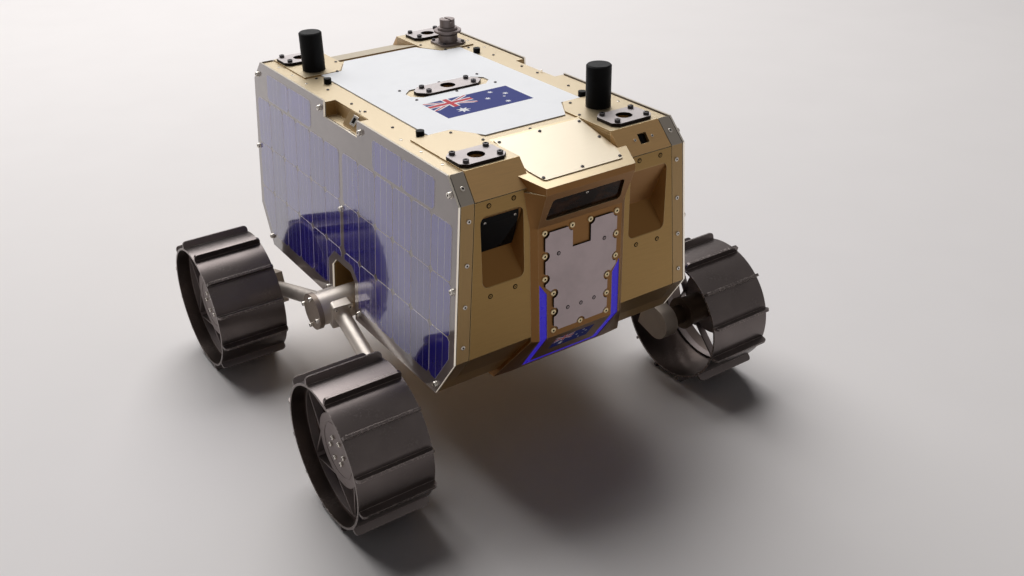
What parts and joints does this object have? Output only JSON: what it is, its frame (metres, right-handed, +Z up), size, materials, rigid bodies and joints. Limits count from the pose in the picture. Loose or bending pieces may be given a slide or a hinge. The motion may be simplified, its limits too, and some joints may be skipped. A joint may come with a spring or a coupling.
{
  "type": "planetary rover prototype",
  "caption": "Small four-wheeled planetary rover with a gold box body, side solar panels, rocker arms, lugged metal wheels, stub masts and round payload holes in plates on its deck.",
  "frame": {"origin": "on the floor under the middle of the body and of the wheelbase", "axes": "-Y is the rover's front, +X its own left, +Z up; the wheels turn about X"},
  "size_m": [0.629, 0.6152, 0.472],
  "materials": {
    "gold_anodised": "brushed and gold anodised",
    "white_radiator": "white satin paint",
    "grey_anodised": "bead-blasted grey anodised",
    "black_anodised": "black anodised",
    "black_polymer": "matt black",
    "dark_wheel_metal": "dark hard anodised, dusty",
    "bare_metal": "clear anodised",
    "panel_board": "clear gloss over a tan board",
    "solar_cell": "blue-violet under gloss",
    "light_strip": "deep blue-violet diffuser",
    "dark_glass": "near-black glossy window"
  },
  "bodies": {
    "rover_body": {"chassis_core": "gold_anodised", "deck": "gold_anodised", "corner_lids": "gold_anodised", "radiator_panel": "white_radiator", "corner_mount_plates": "grey_anodised", "centre_mount_plate": "grey_anodised", "antenna_mast_rear_right": "black_polymer", "antenna_mast_front_left": "black_polymer", "connector_pillar": "grey_anodised", "deck_studs": "black_polymer", "front_rails": "gold_anodised", "rear_rails": "gold_anodised", "front_cheek_right": "gold_anodised", "front_cheek_left": "gold_anodised", "front_facets": "gold_anodised", "rear_facets": "gold_anodised", "facet_sensor": "dark_glass", "camera_window": "dark_glass", "nose": "gold_anodised", "hood_cover": "gold_anodised", "hood_window": "dark_glass", "nose_plate": "grey_anodised", "light_strip": "light_strip", "rear_block": "gold_anodised", "rear_ramp": "gold_anodised", "solar_panel_right": "panel_board", "solar_cells_right": "solar_cell", "panel_spacers_right": "bare_metal", "side_sensor_right": "gold_anodised", "rocker_housing_right": "bare_metal", "housing_cap_right": "bare_metal", "rocker_arms_right": "bare_metal", "knuckles_right": "bare_metal", "drive_motors_right": "bare_metal", "solar_panel_left": "panel_board", "solar_cells_left": "solar_cell", "panel_spacers_left": "bare_metal", "side_sensor_left": "gold_anodised", "rocker_housing_left": "bare_metal", "housing_cap_left": "bare_metal", "rocker_arms_left": "bare_metal", "knuckles_left": "bare_metal", "drive_motors_left": "bare_metal"},
    "front_right_wheel": {"wheel_front_right": "dark_wheel_metal", "wheel_hub_front_right": "dark_wheel_metal"},
    "front_left_wheel": {"wheel_front_left": "dark_wheel_metal", "wheel_hub_front_left": "dark_wheel_metal"},
    "rear_right_wheel": {"wheel_rear_right": "dark_wheel_metal", "wheel_hub_rear_right": "dark_wheel_metal"},
    "rear_left_wheel": {"wheel_rear_left": "dark_wheel_metal", "wheel_hub_rear_left": "dark_wheel_metal"}
  },
  "joints": [
    {"name": "front_right_wheel_spin", "type": "hinge", "parent": "rover_body", "child": "front_right_wheel", "pos_m": [-0.26572, -0.2115, 0.09609], "axis": [1, 0, 0], "continuous": true},
    {"name": "front_left_wheel_spin", "type": "hinge", "parent": "rover_body", "child": "front_left_wheel", "pos_m": [0.26572, -0.2115, 0.09609], "axis": [1, 0, 0], "continuous": true},
    {"name": "rear_right_wheel_spin", "type": "hinge", "parent": "rover_body", "child": "rear_right_wheel", "pos_m": [-0.26572, 0.2115, 0.09609], "axis": [1, 0, 0], "continuous": true},
    {"name": "rear_left_wheel_spin", "type": "hinge", "parent": "rover_body", "child": "rear_left_wheel", "pos_m": [0.26572, 0.2115, 0.09609], "axis": [1, 0, 0], "continuous": true}
  ]
}
